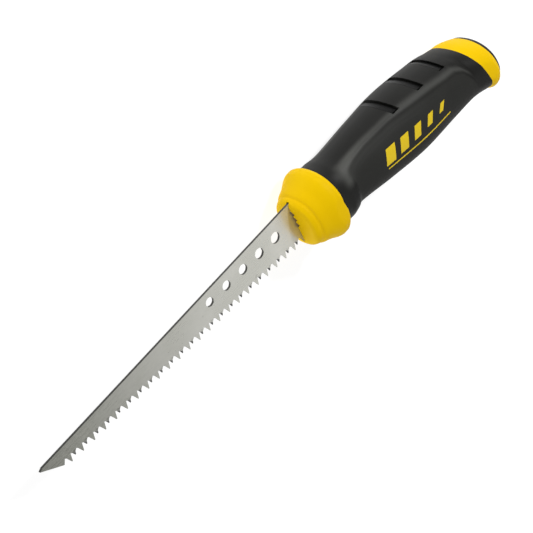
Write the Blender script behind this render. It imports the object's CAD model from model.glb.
# %% [markdown]
# # The looks of a drywall saw
#
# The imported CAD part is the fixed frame.  Each visible CAD node is replaced by a finer
# surface that follows the same sections, and each surface is a numpy grid of points.
# The cells below build the pieces in the order blade, bolster, grip, treads, ring, cap
# and printed mark, then give them materials, and set up the floor, light and camera.

# %% Imports and the frame
"""Looks of a drywall saw lying on its side.

All shapes are worked out in millimetres about the nose of the handle: x = 0 at the
front of the nose, y = 0 on the blade's spine, z = 0 at the middle of the blade.
A handle section at x has an axis height y, a lean l, a half height h and a half width w.
Its point at angle a from the spine side is, with s(v) = sign(v) |v| ^ (2 / 2.2):
    up = (h + d) s(cos a),  across = (w + d) s(sin a)
    P  = (x - sin(l) up,  y + cos(l) up,  across)
where d is how far the point stands out of the plain oval.
"""

import math

import bmesh
import bpy
import numpy as np
from mathutils import Matrix, Vector
from mathutils.geometry import delaunay_2d_cdt

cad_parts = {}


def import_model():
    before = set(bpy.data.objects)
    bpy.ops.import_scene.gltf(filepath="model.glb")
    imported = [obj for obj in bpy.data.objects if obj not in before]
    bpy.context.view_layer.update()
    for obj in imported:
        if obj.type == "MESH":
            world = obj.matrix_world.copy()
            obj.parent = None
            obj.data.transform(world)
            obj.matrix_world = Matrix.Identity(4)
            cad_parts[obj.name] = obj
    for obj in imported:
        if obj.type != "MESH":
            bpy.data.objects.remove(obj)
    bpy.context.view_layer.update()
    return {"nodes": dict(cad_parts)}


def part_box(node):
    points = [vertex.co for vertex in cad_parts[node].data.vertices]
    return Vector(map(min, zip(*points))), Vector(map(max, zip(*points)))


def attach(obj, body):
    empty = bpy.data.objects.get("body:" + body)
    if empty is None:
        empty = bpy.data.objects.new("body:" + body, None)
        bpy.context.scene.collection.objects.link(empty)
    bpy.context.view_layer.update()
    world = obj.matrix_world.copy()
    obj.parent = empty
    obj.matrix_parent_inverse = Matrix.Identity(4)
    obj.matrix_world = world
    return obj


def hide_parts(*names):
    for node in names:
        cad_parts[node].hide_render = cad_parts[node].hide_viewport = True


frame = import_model()
print("nodes:", sorted(frame["nodes"]))

# %% [markdown]
# ## Where things are
# The frame's own boxes give the nose point and the main sizes.

# %% Sizes from the frame
MM = 0.001
blade_lo, blade_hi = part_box("blade")
bolster_lo, bolster_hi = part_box("bolster")
NOSE = np.array([bolster_lo.x, blade_hi.y, (blade_lo.z + blade_hi.z) / 2])
BLADE_T = (blade_hi.z - blade_lo.z) / MM
REACH = (NOSE[0] - blade_lo.x) / MM
AXIS_Y = ((bolster_lo.y + bolster_hi.y) / 2 - NOSE[1]) / MM
GUARD_H = (bolster_hi.y - bolster_lo.y) / 2 / MM
BORDER_X = (bolster_hi.x - bolster_lo.x) / MM
SIDE_FLAT = (bolster_hi.z - bolster_lo.z) / 2 / MM
print(f"blade {REACH:.1f} x {BLADE_T:.2f}, axis {AXIS_Y:.2f}")
print(f"guard {GUARD_H:.2f}, border {BORDER_X:.1f}, side flat {SIDE_FLAT:.2f}")


def world(points):
    """Points in millimetres about the nose, as metres in the frame."""
    return NOSE + MM * np.asarray(points, float)


# %% [markdown]
# ## From grids of points to meshes
# A grid of rings closes round its last axis.  A tube also closes from its last ring to
# its first, so its outer and inner walls are one skin.  A slab is a thin curved plate
# between two equal grids.

# %% A mesh from points and faces
def make(name, verts, faces, sharp=32.0):
    """A mesh object from points in millimetres and faces, with its normals outwards."""
    mesh = bpy.data.meshes.new(name)
    mesh.from_pydata(world(verts), [], [tuple(int(i) for i in f) for f in faces])
    bm = bmesh.new()
    bm.from_mesh(mesh)
    bmesh.ops.recalc_face_normals(bm, faces=bm.faces)
    bm.to_mesh(mesh)
    bm.free()
    mesh.polygons.foreach_set("use_smooth", np.ones(len(mesh.polygons), bool))
    mesh.set_sharp_from_angle(angle=math.radians(sharp))
    obj = bpy.data.objects.new(name, mesh)
    bpy.context.scene.collection.objects.link(obj)
    return obj


def paint(obj, name, values, domain):
    """One number for each point or face, under a name that a material can read."""
    attr = obj.data.attributes.new(name, "FLOAT", domain)
    attr.data.foreach_set("value", np.asarray(values, np.float32))


def step(a, b, v):
    """Smooth step of v from 0 at a to 1 at b: t t (3 - 2 t)."""
    t = np.clip((v - a) / (b - a), 0, 1)
    return t * t * (3 - 2 * t)


# %% Tubes, capped solids and plates
def quads(index, close_rows, close_ring):
    """Four-cornered faces of a table of vertex numbers."""
    if close_ring:
        index = np.hstack([index, index[:, :1]])
    if close_rows:
        index = np.vstack([index, index[:1]])
    corners = [index[:-1, :-1], index[:-1, 1:], index[1:, 1:], index[1:, :-1]]
    return np.stack(corners, -1).reshape(-1, 4)


def tube(name, outer, inner):
    """A closed wall between the rings of outer and the rings of inner."""
    rings = np.concatenate([outer, inner[::-1]])
    index = np.arange(rings.shape[0] * rings.shape[1]).reshape(rings.shape[:2])
    return make(name, rings.reshape(-1, 3), quads(index, True, True))


def capped(name, rings):
    """A solid through rings, closed with a fan at each end."""
    rows, n = rings.shape[:2]
    index = np.arange(rows * n).reshape(rows, n)
    verts = np.concatenate([rings.reshape(-1, 3), [rings[0].mean(0)], [rings[-1].mean(0)]])
    ring = np.arange(n)
    fans = [
        np.stack([index[end], index[end][(ring + 1) % n], np.full(n, rows * n + pole)], -1)
        for end, pole in ((0, 0), (-1, 1))
    ]
    return make(name, verts, list(quads(index, False, True)) + list(fans[0]) + list(fans[1]))


def slab(top, bottom):
    """Points and faces of a plate between two equal grids, closed along its four edges."""
    rows, cols = top.shape[:2]
    index = np.arange(rows * cols).reshape(rows, cols)
    edge = np.concatenate([index[0], index[1:, -1], index[-1, -2::-1], index[-2:0:-1, 0]])
    wall = np.stack([edge, np.roll(edge, -1)], -1)
    wall = np.concatenate([wall, wall[:, ::-1] + rows * cols], -1)
    faces = [quads(index, False, False), quads(index, False, False) + rows * cols, wall]
    verts = np.concatenate([top.reshape(-1, 3), bottom.reshape(-1, 3)])
    return verts, np.concatenate(faces)


def join_parts(name, parts):
    """One object from several lists of (verts, faces)."""
    start = np.cumsum([0] + [len(v) for v, _ in parts])
    verts = np.concatenate([v for v, _ in parts])
    return make(name, verts, np.concatenate([f + s for (_, f), s in zip(parts, start)]))


# %% [markdown]
# ## The blade
# The outline runs round the spine, the hidden tang and 47 teeth.  Every second tooth is
# ground to a bevel on one side and the teeth between on the other, and their tips are
# set apart, so the front and the back have outlines of their own with equal points.

# %% Sizes of the blade
PITCH, DEPTH, FIRST, TEETH = 3.25, 3.5, 0.4, 47
HEEL_W, TOE_W = 22.9, 9.4
SLANT_X, POINT_W, CHAMFER = -REACH + 9.8, 7.9, 1.7
TAPER = (HEEL_W - TOE_W) / (FIRST + PITCH * (TEETH - 1))
SHOULDER_X, TANG_LEN, TANG_HALF, TANG_NOSE = 5.2, 62, 6, 3
SET = 0.3
EDGE_ROUND = 0.07
HOLE_START, HOLE_STEP, HOLE_DROP = 13.5, 11.25, 8.1
HOLE_R, HOLE_SHRINK, HOLE_RISE = 5.55 / 2, 0.125, 0.65
TOOTH_S = np.array([1.58, 1.42, 1.24, 0.27, 0.13, -0.13, -0.27, -1.24, -1.42, -1.58])
TOOTH_D = np.array([0.0, 0.02, 0.11, 0.95, 1.0, 1.0, 0.95, 0.11, 0.02, 0.0])
print(f"{TEETH} teeth, taper {TAPER:.4f}, slant starts at {SLANT_X:.1f}")


# %% Outline of the blade
def edge_y(x):
    """Height of the line through the tooth tips at x."""
    return -HEEL_W - TAPER * x


def flat(pts):
    """Points (x, y) with a z of nought."""
    return np.array([[px, py, 0.0] for px, py in pts])


def blade_side(side):
    """Outline of one side, 1 for the upper, as points that run anticlockwise from above."""
    i = np.arange(TEETH)[:, None]
    full = (i % 2 == 0) if side > 0 else (i % 2 == 1)
    s, d = TOOTH_S[None, :], TOOTH_D[None, :]
    across = np.where(full, s, s * (1 - 0.3 * d))
    deep = np.where(full, d, d * 0.38)
    x = -FIRST - PITCH * i + across
    y = edge_y(-FIRST - PITCH * i) + DEPTH * (1 - deep)
    lift = SET * d * np.where(i % 2 == 0, 1, -1)
    teeth = np.stack([x, y, lift + 0 * x], -1).reshape(-1, 3)
    spine = flat([(-REACH, -CHAMFER / 2), (-REACH + CHAMFER, 0), (SHOULDER_X, 0)])
    upper = [(SHOULDER_X, TANG_HALF), (TANG_LEN - TANG_NOSE, TANG_HALF), (TANG_LEN, TANG_NOSE)]
    tang = flat(upper + [(px, -py) for px, py in upper[::-1]]) + [0, AXIS_Y, 0]
    shoulder = flat([(SHOULDER_X, edge_y(0) + DEPTH)])
    last = -FIRST - PITCH * TEETH
    point = flat([(last + 1.4, edge_y(last) + DEPTH), (SLANT_X, -POINT_W)])
    loop = np.concatenate([spine, tang, shoulder, teeth, point])[::-1]
    loop[:, 2] += side * BLADE_T / 2
    return loop


def drawn_in(loop, d):
    """The loop moved inwards by d, along the bisectors of its corners."""
    to_next = np.roll(loop, -1, 0)[:, :2] - loop[:, :2]
    to_next /= np.linalg.norm(to_next, axis=1, keepdims=True)
    normal = np.stack([-to_next[:, 1], to_next[:, 0]], -1)
    both = normal + np.roll(normal, 1, 0)
    both /= np.maximum((both**2).sum(1, keepdims=True) / 2, 0.35)
    out = loop.copy()
    out[:, :2] += d * both
    return out


# %% Holes in the blade
HOLES = []
for k in range(5):
    along = HOLE_STEP * k
    HOLES.append((-HOLE_START - along, -HOLE_DROP + along * TAPER * HOLE_RISE, HOLE_R - HOLE_SHRINK * k))
RING = np.linspace(0, 2 * np.pi, 56, endpoint=False)


def circle(hole, extra, z):
    """Points round a hole, extra further out than its wall."""
    x, y, r = hole[0], hole[1], hole[2] + extra
    return np.stack([x + r * np.cos(RING), y + r * np.sin(RING), 0 * RING + z], -1)


def filled(outline, holes, line):
    """Triangles of one side, as numbers into outline + holes + line."""
    pts = np.concatenate([outline, *holes, line])
    n, edges = len(outline), []
    for k in range(len(holes)):
        ring = n + k * len(RING) + np.arange(len(RING))
        edges += list(zip(ring.tolist(), np.roll(ring, -1).tolist()))
    first = n + len(holes) * len(RING)
    edges += [(first + k, first + k + 1) for k in range(len(line) - 1)]
    out = delaunay_2d_cdt([Vector(p[:2]) for p in pts], edges, [list(range(n))], 1, 1e-6)
    names = np.array([o[0] for o in out[3]])
    tri = names[np.array(out[2])]
    centre = pts[tri].mean(1)
    inside = np.ones(len(tri), bool)
    for x, y, r in HOLES:
        inside &= np.hypot(centre[:, 0] - x, centre[:, 1] - y) > r * 0.98
    return pts, tri[inside]


print("hole radii", [round(r, 3) for _, _, r in HOLES])

# %% The blade's two sides
verts, faces, rim, start = [], [], [], 0
loops = {}
for side in (1, -1):
    loop = blade_side(side)
    inner = drawn_in(loop, EDGE_ROUND)
    x = np.linspace(2.0, SLANT_X + 4, 50)
    line = np.stack([x, edge_y(x) + DEPTH + 0.5, 0 * x + side * BLADE_T / 2], -1)
    rings = [circle(h, EDGE_ROUND, side * BLADE_T / 2) for h in HOLES]
    pts, tri = filled(inner, rings, line)
    loop[:, 2] -= side * EDGE_ROUND
    walls = [loop] + [circle(h, 0, side * (BLADE_T / 2 - EDGE_ROUND)) for h in HOLES]
    faces += (tri[:, :: side] + start).tolist()
    rim += [0.0] * len(tri)
    n = len(inner)
    offs = [start] + [start + n + k * len(RING) for k in range(5)]
    verts += [pts, *walls]
    start += len(pts)
    wall_at = []
    for w in walls:
        wall_at.append(start)
        start += len(w)
    loops[side] = (offs, wall_at, [n] + [len(RING)] * 5)
    print("side", side, "triangles", len(tri))

# %% The blade's edges, and its mesh
for k in range(6):
    size = loops[1][2][k]
    chain = [loops[1][0][k], loops[1][1][k], loops[-1][1][k], loops[-1][0][k]]
    i = np.arange(size)
    for a, b in zip(chain, chain[1:]):
        q = np.stack([a + i, b + i, b + (i + 1) % size, a + (i + 1) % size], -1)
        faces += q.tolist()
        rim += [1.0] * size
blade = make("blade_plate", np.concatenate(verts), faces, 24)
blade.data.polygons.foreach_set("use_smooth", np.zeros(len(faces), bool))
paint(blade, "rim", rim, "FACE")
print("blade faces", len(faces))

# %% [markdown]
# ## Sections of the handle
# The same key sections as the CAD part.  A cubic joins them smoothly.

# %% Smooth rows through key sections
FLAT = 0.905


def key(x, y, h, lean=0.0, w=None):
    """One key section; its half width is a fixed share of its half height unless given."""
    return [x, y, lean, h, h * FLAT if w is None else w]


def smooth(keys, per=24):
    """Rows [x, y, lean, h, w] along the smooth curve through the key sections."""
    k = np.array(keys, float)
    n = len(k)
    lo, hi = np.maximum(np.arange(n) - 1, 0), np.minimum(np.arange(n) + 1, n - 1)
    slope = (k[hi] - k[lo]) / (hi - lo)[:, None]
    u = np.linspace(0, n - 1, (n - 1) * per + 1)
    i = np.minimum(u.astype(int), n - 2)
    t = (u - i)[:, None]
    return (
        (2 * t**3 - 3 * t**2 + 1) * k[i]
        + (t**3 - 2 * t**2 + t) * slope[i]
        + (3 * t**2 - 2 * t**3) * k[i + 1]
        + (t**3 - t**2) * slope[i + 1]
    )


# %% Key sections of the bolster
NOSE_H, ROUND, COVE = 13.8, 2.2, 3.6
nose_keys = [
    key(0, AXIS_Y, NOSE_H - ROUND),
    key(ROUND * 0.35, AXIS_Y, NOSE_H - ROUND * 0.4),
    key(ROUND, AXIS_Y, NOSE_H),
    key(COVE, AXIS_Y, NOSE_H + 0.3),
    key(COVE + 1.3, AXIS_Y, NOSE_H + 1.5),
    key(8.8, AXIS_Y, GUARD_H - 2.8),
    key(12.6, AXIS_Y, GUARD_H - 0.7),
    key(14.8, AXIS_Y, GUARD_H),
    key(BORDER_X - 2.6, AXIS_Y, GUARD_H),
    key(BORDER_X - 0.9, AXIS_Y, GUARD_H - 0.9),
    key(BORDER_X, AXIS_Y, GUARD_H - 2.2),
]
print(len(nose_keys), "bolster sections")

# %% Key sections of the grip, ring and cap
NECK, BELLY, WAIST, BELLY_X, SAG, RUBBER = 15.3, 19.0, 16.9, 80.0, 9.9, 3.0
RING_X, RING_H, RING_LEN, LEAN = 130.0, 17.8, 10.5, 18.0
RING_Y = AXIS_Y - SAG
grip_keys = [
    nose_keys[-1],
    key(BORDER_X + 5.5, AXIS_Y - SAG * 0.03, NECK + 1.1),
    key(BORDER_X + 14.5, AXIS_Y - SAG * 0.04, NECK),
    key(BORDER_X + (BELLY_X - BORDER_X) * 0.587, AXIS_Y - SAG * 0.2, NECK + (BELLY - NECK) * 0.54),
    key(BELLY_X, AXIS_Y - SAG * 0.39, BELLY),
    key(BELLY_X + (RING_X - BELLY_X) * 0.5, AXIS_Y - SAG * 0.59, BELLY - 1.1),
    key(BELLY_X + (RING_X - BELLY_X) * 0.8, AXIS_Y - SAG * 0.75, WAIST, LEAN * 0.55, WAIST * 0.964),
    key(RING_X, RING_Y, RING_H - 0.4, LEAN, RING_H),
]
ring_keys = [
    grip_keys[-1],
    key(RING_X + RING_LEN * 0.37, RING_Y - 1.5, RING_H + 0.2, LEAN * 0.8, RING_H),
    key(RING_X + RING_LEN * 0.75, RING_Y - 2.5, RING_H - 0.9, LEAN * 0.62, RING_H - 0.8),
    key(RING_X + RING_LEN, RING_Y - 2.7, RING_H - 2.3, LEAN * 0.52, RING_H - 2.2),
]
CAP_LEN, CAP_STEP = 2.97, 0.5


def behind(d, shrink):
    """A section d behind the ring's last one, along its lean, and smaller by shrink."""
    x, y, lean, h, w = ring_keys[-1]
    a = math.radians(lean)
    return [x + d * math.cos(a), y + d * math.sin(a), lean, h - shrink, w - shrink]


nose_rows = smooth(nose_keys, 10)
nose_rows[:, 3] = np.minimum(nose_rows[:, 3], GUARD_H)
nose_rows[:, 4] = np.minimum(nose_rows[:, 4], GUARD_H * FLAT)
grip_rows = smooth(grip_keys)
ring_rows = smooth(ring_keys, 12)
RING_TUCK = 0.04  # keeps the ring's smooth bulge inside the frame's box
ring_rows[:, 3:] -= RING_TUCK * np.sin(np.linspace(0, np.pi, len(ring_rows)))[:, None]
print("rows", len(nose_rows), len(grip_rows), len(ring_rows))


# %% Points on a section
def rows_at(rows, x):
    """Section rows at any x, by interpolation in a table sorted by x."""
    return np.stack([x] + [np.interp(x, rows[:, 0], rows[:, j]) for j in range(1, 5)], -1)


def soft(v):
    """sign(v) |v| ^ (2 / 2.2), which squares the oval a little."""
    return np.sign(v) * np.abs(v) ** (2 / 2.2)


def eased(v):
    """Width that settles on the side flat instead of being cut by it."""
    ease = 0.9
    knee = SIDE_FLAT - ease
    over = np.maximum(np.abs(v) - knee, 0)
    return np.sign(v) * (np.minimum(np.abs(v), knee) + ease * (1 - np.exp(-over / ease)))


def surface(rows, phi, out=0.0):
    """Points at angle phi (radians) from the spine side; rows and phi broadcast."""
    up = (rows[..., 3] + out) * soft(np.cos(phi))
    across = (rows[..., 4] + out) * soft(np.sin(phi))
    lean = np.radians(rows[..., 2])
    x = rows[..., 0] - np.sin(lean) * up
    y = rows[..., 1] + np.cos(lean) * up
    return np.stack([x, y, eased(across)], -1)


# %% [markdown]
# ## Borders, panel and pockets
# The line between the bolster and the rubber dips a little at the side.  The rubber has
# a finger panel round its underside, with a soft raised shoulder along its border, and
# three pockets across its top.

# %% Features of the grip
TREADS = np.array([71.3, 90.6, 108.8])
TREAD_W, WRAP, RECESS, TREAD_T, BOW = 4.7, 37.0, 0.5, 1.6, 1.3
PANEL_X = [30, 38, 46, 64, 81, 95, 105, 113, 118, 121, 123]
PANEL_A = [54, 46, 41.5, 41.5, 49, 54, 58, 58.5, 66, 85, 120]


def warp(u, deg):
    """Where the row u crosses angle deg: the border's dip, and the bow of the treads."""
    side = np.abs(deg)
    dip = 1.5 * np.exp(-(((side - 83) / 13) ** 2)) * np.exp(-(((u - BORDER_X) / 4.0) ** 2))
    bow = BOW * np.clip(1 - (side / WRAP) ** 2, 0, 1) * step(60, 68, u) * (1 - step(113, 122, u))
    return u - dip - bow


def panel_depth(x, deg):
    """Millimetres inside the finger panel's border; negative outside it."""
    side = np.abs(deg)
    d_top = (side - np.interp(x, PANEL_X, PANEL_A)) * 0.29
    d_front = x - 30.5
    d_back = 122.5 - x
    k = 2.0
    return -k * np.log(np.exp(-d_top / k) + np.exp(-d_front / k) + np.exp(-d_back / k))


def pocket(u, deg):
    """1 on the floor of a tread pocket, 0 outside."""
    end = step(0, 1.6, WRAP + 0.8 - np.abs(deg))
    along = [
        step(0, 0.15, u - t + TREAD_W / 2 + 0.05) * step(0, 0.3, t + TREAD_W / 2 + 0.15 - u)
        for t in TREADS
    ]
    return end * np.max(along, 0)


def grip_out(x, u, deg):
    """How far the rubber stands out of the plain oval, without the pockets."""
    d = panel_depth(x, deg)
    side = np.abs(deg)
    shoulder = 0.8 * (1 - step(-1.6, 1.9, d)) * np.exp(-((np.minimum(d, 0) / 10.0) ** 2))
    shoulder *= step(20.5, 26, x) * (1 - step(120, 128, x))
    shoulder *= 1 - step(108, 122, x) * step(70, 110, side)
    inner_line = -0.05 * np.exp(-(((d - 3.6) / 0.6) ** 2))
    return shoulder * step(12, 40, side) + inner_line


def grip_surface(u, deg, extra=0.0):
    """Points of the rubber's outside; u and deg are equal grids."""
    x = warp(u, deg)
    return surface(rows_at(grip_rows, x), np.radians(deg), grip_out(x, u, deg) + extra)


# %% The grip's grid, finer at the pockets
front_rows = np.array([-0.5, -0.2, -0.05, 0.0, 0.05, 0.1, 0.3, 0.7])
near = np.concatenate([front_rows - TREAD_W / 2, np.linspace(-0.5, 0.35, 9) + TREAD_W / 2])
rows_u = np.concatenate([np.linspace(BORDER_X, RING_X, 190), (TREADS[:, None] + near).ravel()])
rows_u = np.unique(np.round(rows_u, 3))
ends = np.array([-1.2, -0.8, -0.4, 0, 0.4, 0.8, 1.2])
deg = np.concatenate([np.linspace(-180, 180, 216, endpoint=False), WRAP + ends, -WRAP + ends])
deg = np.unique(np.round(deg, 3))
U, DEG = np.meshgrid(rows_u, deg, indexing="ij")
print("grip grid", U.shape)

# %% Grip
outer = grip_surface(U, DEG, -(RECESS + TREAD_T) * pocket(U, DEG))
inner_u = np.linspace(BORDER_X, RING_X, 60)
IU, IDEG = np.meshgrid(inner_u, deg, indexing="ij")
inner = surface(rows_at(grip_rows, warp(IU, IDEG)), np.radians(IDEG), -RUBBER)
grip = tube("grip_rubber", outer, inner)
print("grip faces", len(grip.data.polygons))

# %% Where the grip is grained, and where it is handled
border_d = panel_depth(warp(U, DEG), DEG)
in_panel = step(-0.2, 1.2, border_d) * (1 - pocket(U, DEG))
neck = 1 - step(34, 62, U)
handled = np.exp(-(((border_d + 2.5 + neck) / (2.0 + 1.8 * neck)) ** 2)) * (0.7 + 0.5 * neck)
handled *= step(22, 30, U) * (1 - 0.5 * step(112, 126, U))
handled *= step(20, 34, np.abs(DEG)) * (1 - step(66, 84, np.abs(DEG)))
for name, part in (("panel", in_panel), ("handled", handled)):
    paint(grip, name, np.concatenate([part.ravel(), np.zeros(IU.size)]), "POINT")
    print(name, "mean", round(float(part.mean()), 4))

# %% Treads
tread_pieces = []
for name, t in zip(("tread_front", "tread_middle", "tread_rear"), TREADS):
    u = np.linspace(t - TREAD_W / 2 + 0.08, t + TREAD_W / 2 - 0.02, 17)
    a = np.linspace(-WRAP + 0.3, WRAP - 0.3, 61)
    TU, TA = np.meshgrid(u, a, indexing="ij")
    su = u[-1] - TU
    sa = np.minimum(TA - a[0], a[-1] - TA) * 0.3
    edge = np.minimum(np.minimum(su, sa) / 0.5, 1)
    ramp = (TU - u[0]) / (u[-1] - u[0])
    crown = -0.02 - 1.05 * ramp - 0.35 * (1 - np.sqrt(np.clip(1 - (1 - edge) ** 2, 0, 1)))
    x = warp(TU, TA)
    top = surface(rows_at(grip_rows, x), np.radians(TA), grip_out(x, TU, TA) + crown)
    low = surface(rows_at(grip_rows, x), np.radians(TA), grip_out(x, TU, TA) - RECESS - TREAD_T)
    tread_pieces.append(join_parts(name + "_pad", [slab(top, low)]))
    print(name, "faces", len(tread_pieces[-1].data.polygons))

# %% [markdown]
# ## Bolster
# A cup round the nose.  A cutter with the slot's own outline opens the slot and its
# three V notches.

# %% Bolster shell
ring_deg = np.linspace(-180, 180, 224, endpoint=False)
CORE_X, STUB_H = 6.0, 10.4
NR, ND = np.meshgrid(nose_rows[:, 0], ring_deg, indexing="ij")
shell = surface(rows_at(nose_rows, warp(NR, ND)), np.radians(ND))
shell[..., 0] = np.maximum(shell[..., 0], 0)


def plain_ring(x, r):
    """Points of an upright oval of half height r at x."""
    return surface(np.array([x, AXIS_Y, 0, r, r * FLAT]), np.radians(ring_deg))


face_in = [plain_ring(0, r) for r in (1.5, 6.0, 10.2)]
bore = [plain_ring(x, STUB_H) for x in (BORDER_X, CORE_X)]
bore[0][:, 0] = warp(np.full(len(ring_deg), BORDER_X), ring_deg)
floor_in = [plain_ring(CORE_X, r) for r in (5.0, 1.5)]
bolster = capped("bolster_shell", np.concatenate([face_in, shell, bore, floor_in]))
print("bolster before the slot", len(bolster.data.polygons))

# %% Slot and notches
SLOT, NOTCH_D, NOTCH_P, NOTCH_Y = BLADE_T / 2 + 0.15, 1.9, 3.4, -5.6


def slot_ring(x, deep):
    """Outline of the slot at x, with its three notches cut deep into the upper side."""
    top = [
        [NOTCH_Y - NOTCH_P * (k - 0.5 + j / 2), SLOT + deep * (j == 1)]
        for k in range(3)
        for j in range(3)
    ]
    top = [p for k, p in enumerate(top) if k in (0, 1, 2, 4, 5, 7, 8)]
    low = -HEEL_W - 0.5
    yz = [[0.5, -SLOT], [0.5, SLOT]] + top + [[low, SLOT], [low, -SLOT]]
    return [[x, y, z] for y, z in yz]


cutter_rings = [(-1, NOTCH_D), (2.9, NOTCH_D), (3.4, 0), (CORE_X + 1, 0)]
cutter = capped("cutter", np.array([slot_ring(x, deep) for x, deep in cutter_rings]))
cut = bolster.modifiers.new("slot", "BOOLEAN")
cut.object, cut.operation, cut.solver = cutter, "DIFFERENCE", "EXACT"
graph = bpy.context.evaluated_depsgraph_get()
cut_mesh = bpy.data.meshes.new_from_object(bolster.evaluated_get(graph))
bolster.modifiers.clear()
bolster.data = cut_mesh
bolster.data.set_sharp_from_angle(angle=math.radians(34))
bpy.data.objects.remove(cutter)
print("bolster faces", len(bolster.data.polygons))

# %% [markdown]
# ## Rear ring and end cap

# %% Ring
R, D = np.meshgrid(np.arange(len(ring_rows)), ring_deg, indexing="ij")
ring_outer = surface(ring_rows[R], np.radians(D))
seat, stub = ring_rows[0].copy(), ring_rows[-1].copy()
seat[3:] -= 4.2
stub[3:] -= 4.4
mix_u = np.linspace(0, 1, 12)[:, None, None]
ends_in = surface(np.stack([seat, stub])[:, None, :], np.radians(ring_deg)[None, :])
ring_inner = ends_in[:1] * (1 - mix_u) + ends_in[1:] * mix_u
rear_ring = tube("ring_shell", ring_outer, ring_inner)
print("ring faces", len(rear_ring.data.polygons))

# %% Cap
cap_shape = [(0, 0), (0.55, 0.5), (0.88, 2.2), (1, 6)]
cap_rows = smooth([behind(CAP_LEN * share, CAP_STEP + inset) for share, inset in cap_shape], 10)
cap_more = np.array([behind(CAP_LEN, 11.5), behind(CAP_LEN, 14.2)])
cap_back = np.array([behind(0, 14.0), behind(0, 8.0)])
cap_all = np.concatenate([cap_back, cap_rows, cap_more])
end_cap = capped("cap_disc", surface(cap_all[:, None, :], np.radians(ring_deg)[None, :]))
print("cap faces", len(end_cap.data.polygons))

# %% [markdown]
# ## Printed mark
# A plain row of five slanted bars that shrink towards the butt, over a thin line.

# %% Mark
def patch(x0, x1, a0, a1, slant, n=14, m=8):
    """A thin printed bar on the panel, from x0 to x1 and from angle a0 to a1."""
    s, t = np.meshgrid(np.linspace(0, 1, n), np.linspace(0, 1, m), indexing="ij")
    ang = a0 + (a1 - a0) * t
    x = x0 + (x1 - x0) * s - slant * (t - 0.5)
    rows = rows_at(grip_rows, x)
    out = grip_out(x, x, ang)
    return slab(*(surface(rows, np.radians(ang), out + d) for d in (0.05, -0.1)))


bars = []
for k in range(5):
    x0, wide, tall = 52.0 + 10.2 * k, 6.4 - 0.8 * k, 24.0 - 3.2 * k
    bars.append(patch(x0, x0 + wide, 84 - tall / 2, 84 + tall / 2, 3.2))
bars.append(patch(51.0, 99.0, 101, 103.2, 0.2, 60, 4))
mark = join_parts("mark_bars", bars)
print("mark faces", len(mark.data.polygons))

# %% [markdown]
# ## Materials
# Sums and products of sockets make Math nodes, so a material reads like a formula.

# %% Socket wrapper
class Sock:
    """An output socket that can be added, multiplied and so on."""

    def __init__(self, graph, socket):
        self.graph, self.socket = graph, socket

    def _math(self, op, a, b):
        wide = ("RGBA", "VECTOR")
        vector = any(isinstance(v, Sock) and v.socket.type in wide for v in (a, b))
        kind = "VectorMath" if vector else "Math"
        return self.graph.node(kind, {"operation": op}, {0: a, 1: b})

    def __add__(self, other):
        return self._math("ADD", self, other)

    def __radd__(self, other):
        return self._math("ADD", other, self)

    def __sub__(self, other):
        return self._math("SUBTRACT", self, other)

    def __rsub__(self, other):
        return self._math("SUBTRACT", other, self)

    def __mul__(self, other):
        return self._math("MULTIPLY", self, other)

    def __rmul__(self, other):
        return self._math("MULTIPLY", other, self)

    def __truediv__(self, other):
        return self._math("DIVIDE", self, other)

    def __rtruediv__(self, other):
        return self._math("DIVIDE", other, self)


# %% Node maker
class Graph:
    """A material's nodes, made one at a time by node()."""

    def __init__(self, name):
        self.material = bpy.data.materials.new(name)
        self.material.use_nodes = True
        self.tree = self.material.node_tree
        self.tree.nodes.clear()
        self.place = self.node("TexCoord", out="Object")

    def node(self, kind, settings=None, values=None, out=0):
        n = self.tree.nodes.new("ShaderNode" + kind)
        for name, value in (settings or {}).items():
            setattr(n, name, value)
        for name, value in (values or {}).items():
            if isinstance(value, Sock):
                self.tree.links.new(value.socket, n.inputs[name])
            else:
                n.inputs[name].default_value = value
        return Sock(self, n.outputs[out]) if n.outputs else None

    def noise(self, scale, stretch=(1, 1, 1), detail=3.0, rough=0.55):
        at = self.node("Mapping", {}, {"Vector": self.place, "Scale": stretch})
        values = {"Vector": at, "Scale": scale, "Detail": detail, "Roughness": rough}
        return self.node("TexNoise", {}, values)

    def fit(self, value, a, b):
        """Smooth step of value from 0 at a to 1 at b."""
        span = {"Value": value, "From Min": a, "From Max": b}
        return self.node("MapRange", {"interpolation_type": "SMOOTHSTEP"}, span)

    def mix(self, share, a, b):
        """The colour a where share is 0, and b where it is 1."""
        a, b = ((*c, 1.0) if isinstance(c, tuple) else c for c in (a, b))
        return self.node("Mix", {"data_type": "RGBA"}, {0: share, 6: a, 7: b}, out=2)

    def attribute(self, name):
        return self.node("Attribute", {"attribute_name": name}, out="Fac")

    def finish(self, height, strength, distance, **values):
        bump = self.node("Bump", {}, {"Height": height, "Strength": strength, "Distance": distance})
        return self.shaded(**values, Normal=bump)

    def shaded(self, **values):
        """Close the material with a shader that has these values."""
        shader = self.node("BsdfPrincipled", {}, values)
        self.node("OutputMaterial", {}, {"Surface": shader})
        return self.material


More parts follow.
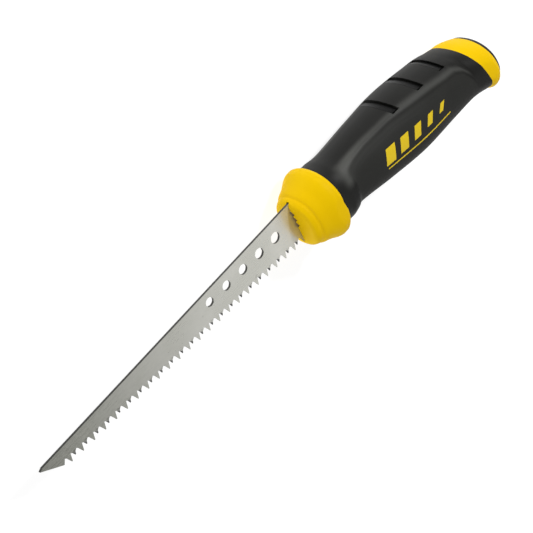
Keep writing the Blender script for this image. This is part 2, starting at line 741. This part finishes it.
# %% Steel
def steel(name, light, dark, tip_tint):
    g = Graph(name)
    cloud = g.noise(45, (1, 1, 1), 4)
    grain = g.noise(900, (0.25, 1, 1), 3, 0.7)
    lines = g.noise(500, (0.03, 1, 1), 2)
    spots = g.fit(g.noise(160, (1, 1, 1), 2), 0.66, 0.74)
    x = g.node("SeparateXYZ", {}, {0: g.place}, out=0)
    along = g.fit(x, float(NOSE[0] - 0.165), float(NOSE[0] - 0.02))
    rim_mask = g.attribute("rim")
    base = g.mix(g.fit(cloud, 0.3, 0.7), dark, light)
    base = g.mix(along, g.mix(0.75, base, tip_tint), base)
    base = g.mix(spots * 0.25, base, (0.16, 0.15, 0.13))
    base = g.mix(g.fit(grain, 0.25, 0.75) * 0.3, base, dark)
    base = g.mix(rim_mask * 0.94, base, (0.03, 0.03, 0.028))
    rough = 0.17 + 0.14 * cloud + 0.1 * grain
    values = {"Base Color": base, "Roughness": rough, "Metallic": 0.6, "Specular IOR Level": 0.25}
    return g.finish(grain + 0.6 * lines, 0.12, 0.00002, **values)


# %% Plastic
def plastic(name, tone, deep, rough_low, spec):
    g = Graph(name)
    cloud = g.noise(60, (1, 1, 1), 3)
    fine = g.noise(2200, (1, 1, 1), 2)
    scuff = g.fit(g.noise(420, (0.15, 1, 1), 4, 0.7), 0.66, 0.8)
    base = g.mix(g.fit(cloud, 0.25, 0.75) * 0.5, tone, deep)
    rough = rough_low + 0.08 * cloud + 0.15 * scuff
    values = {"Base Color": base, "Roughness": rough, "Specular IOR Level": spec}
    return g.finish(fine + 0.4 * scuff, 0.1, 0.00002, **values)


# %% Rubber
def rubber(name, tone, worn, rough_low, spec):
    g = Graph(name)
    panel = g.attribute("panel")
    cloud = g.noise(70, (1, 1, 1), 4)
    pebble = g.node("TexVoronoi", {"feature": "SMOOTH_F1"}, {"Vector": g.place, "Scale": 1500.0})
    fine = g.noise(2600, (1, 1, 1), 2)
    dust = g.fit(g.noise(300, (1, 1, 1), 5, 0.75), 0.55, 0.8)
    base = g.mix(g.fit(cloud, 0.3, 0.7) * 0.5, tone, worn)
    base = g.mix(dust * (0.2 + 0.3 * panel), base, worn)
    base = g.mix(panel * (0.5 + 0.4 * cloud), base, (0.026, 0.0265, 0.024))
    base = g.mix(g.attribute("handled") * (0.75 + 0.25 * cloud), base, (0.078, 0.079, 0.073))
    rough = rough_low + 0.08 * cloud + 0.1 * panel
    height = fine * 0.35 + pebble * (0.25 + 1.2 * panel)
    values = {"Base Color": base, "Roughness": rough, "Specular IOR Level": spec}
    return g.finish(height, 0.35, 0.00005, **values)


# %% The materials
blade_steel = steel("blade_steel", (0.735, 0.73, 0.68), (0.62, 0.62, 0.565), (0.175, 0.18, 0.155))
pin_steel = steel("pin_steel", (0.6, 0.6, 0.6), (0.5, 0.5, 0.5), (0.5, 0.5, 0.5))
yellow = plastic("yellow_plastic", (0.93, 0.60, 0.0), (0.90, 0.555, 0.0), 0.5, 0.06)
core = plastic("core_plastic", (0.1, 0.1, 0.1), (0.07, 0.07, 0.07), 0.5, 0.4)
cap_mat = plastic("cap_plastic", (0.02, 0.02, 0.02), (0.012, 0.012, 0.012), 0.35, 0.4)
ink = plastic("printed_ink", (0.86, 0.62, 0.01), (0.78, 0.55, 0.008), 0.5, 0.3)
grip_mat = rubber("grip_rubber", (0.005, 0.005, 0.004), (0.011, 0.011, 0.0095), 0.5, 0.24)
tread_mat = rubber("tread_rubber", (0.003, 0.003, 0.003), (0.004, 0.004, 0.004), 0.34, 0.1)
print("materials", len(bpy.data.materials))

# %% [markdown]
# ## Fitting the pieces to the frame
# Each piece rides on the one body, and stands for its CAD node.

# %% Pieces and materials
def dress(obj, material):
    """Give an object this material and no other."""
    obj.data.materials.clear()
    obj.data.materials.append(material)


fits = [
    (blade, "blade", "blade_steel", blade_steel),
    (bolster, "bolster", "yellow_plastic", yellow),
    (grip, "grip", "grip_rubber", grip_mat),
    (tread_pieces[0], "tread_front", "tread_rubber", tread_mat),
    (tread_pieces[1], "tread_middle", "tread_rubber", tread_mat),
    (tread_pieces[2], "tread_rear", "tread_rubber", tread_mat),
    (rear_ring, "rear_ring", "yellow_plastic", yellow),
    (end_cap, "end_cap", "cap_plastic", cap_mat),
]
for piece, node, slot, material in fits:
    dress(piece, material)
    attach(piece, "root")
    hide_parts(node)
    dress(frame["nodes"][node], material)
dress(mark, ink)
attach(mark, "root")
for node, material in (("tang_pins", pin_steel), ("handle_core", core)):
    dress(frame["nodes"][node], material)
print("pieces", len(fits) + 1)

# %% [markdown]
# ## Floor, light and camera

# %% Floor
FLOOR_HALF, FLOOR_DROP = 3.0, 0.0004
floor_mesh = bpy.data.meshes.new("floor")
corners = [(FLOOR_HALF * i, FLOOR_HALF * j, 0) for i, j in ((-1, -1), (1, -1), (1, 1), (-1, 1))]
floor_mesh.from_pydata(corners, [], [(0, 1, 2, 3)])
floor = bpy.data.objects.new("floor", floor_mesh)
floor.location.z = -FLOOR_DROP
bpy.context.scene.collection.objects.link(floor)
floor_white = {
    "Base Color": (0.3, 0.3, 0.3, 1),
    "Roughness": 0.9,
    "Specular IOR Level": 0.1,
    "Emission Color": (1, 1, 1, 1),
    "Emission Strength": 0.85,
}
dress(floor, Graph("floor_white").shaded(**floor_white))
print("floor", 2 * FLOOR_HALF, "m wide")

# %% Light
room = bpy.data.worlds.new("room")
room.use_nodes = True
room.node_tree.nodes["Background"].inputs["Color"].default_value = (1, 1, 1, 1)
room.node_tree.nodes["Background"].inputs["Strength"].default_value = 0.24
bpy.context.scene.world = room
bpy.context.scene.view_settings.view_transform = "Standard"


def area_light(name, direction, distance, size, power, aim=(0.0, 0.0, 0.0)):
    """A rectangular lamp, distance away from aim and facing it."""
    light = bpy.data.lights.new(name, "AREA")
    light.shape, light.size, light.size_y, light.energy = "RECTANGLE", size[0], size[1], power
    obj = bpy.data.objects.new(name, light)
    away = Vector(direction).normalized()
    obj.location = Vector(aim) + away * distance
    obj.rotation_euler = away.to_track_quat("Z", "Y").to_euler()
    bpy.context.scene.collection.objects.link(obj)
    print("light", name, power, "W")


area_light("key", (0.42, 0.58, 0.72), 0.9, (0.10, 0.10), 4.2, (0.03, 0.0, 0.0176))
area_light("strip", (0.38, 0.87, 0.32), 0.9, (0.24, 0.24), 0.7, (0.06, 0.0, 0.0176))
area_light("side", (0.40, -0.58, 0.70), 1.0, (0.8, 0.8), 1.3)
area_light("fill", (-0.92, -0.1, 0.26), 1.2, (0.6, 0.6), 4.6)

# %% Camera
camera_data = bpy.data.cameras.new("camera")
camera_data.lens, camera_data.sensor_width = 83.31, 36.0
camera_data.shift_x, camera_data.shift_y = -0.00094, 0.00094
camera = bpy.data.objects.new("camera", camera_data)
right = Vector((0.62329, -0.36934, 0.68927))
up = Vector((0.68143, 0.68893, -0.24704))
back = right.cross(up).normalized()
up = back.cross(right).normalized()
spot = Vector(world([-241.03, 335.37, 384.93]))
camera.matrix_world = Matrix.Translation(spot) @ Matrix((right, up, back)).transposed().to_4x4()
bpy.context.scene.collection.objects.link(camera)
bpy.context.scene.camera = camera
print("camera at", [round(v, 4) for v in spot])
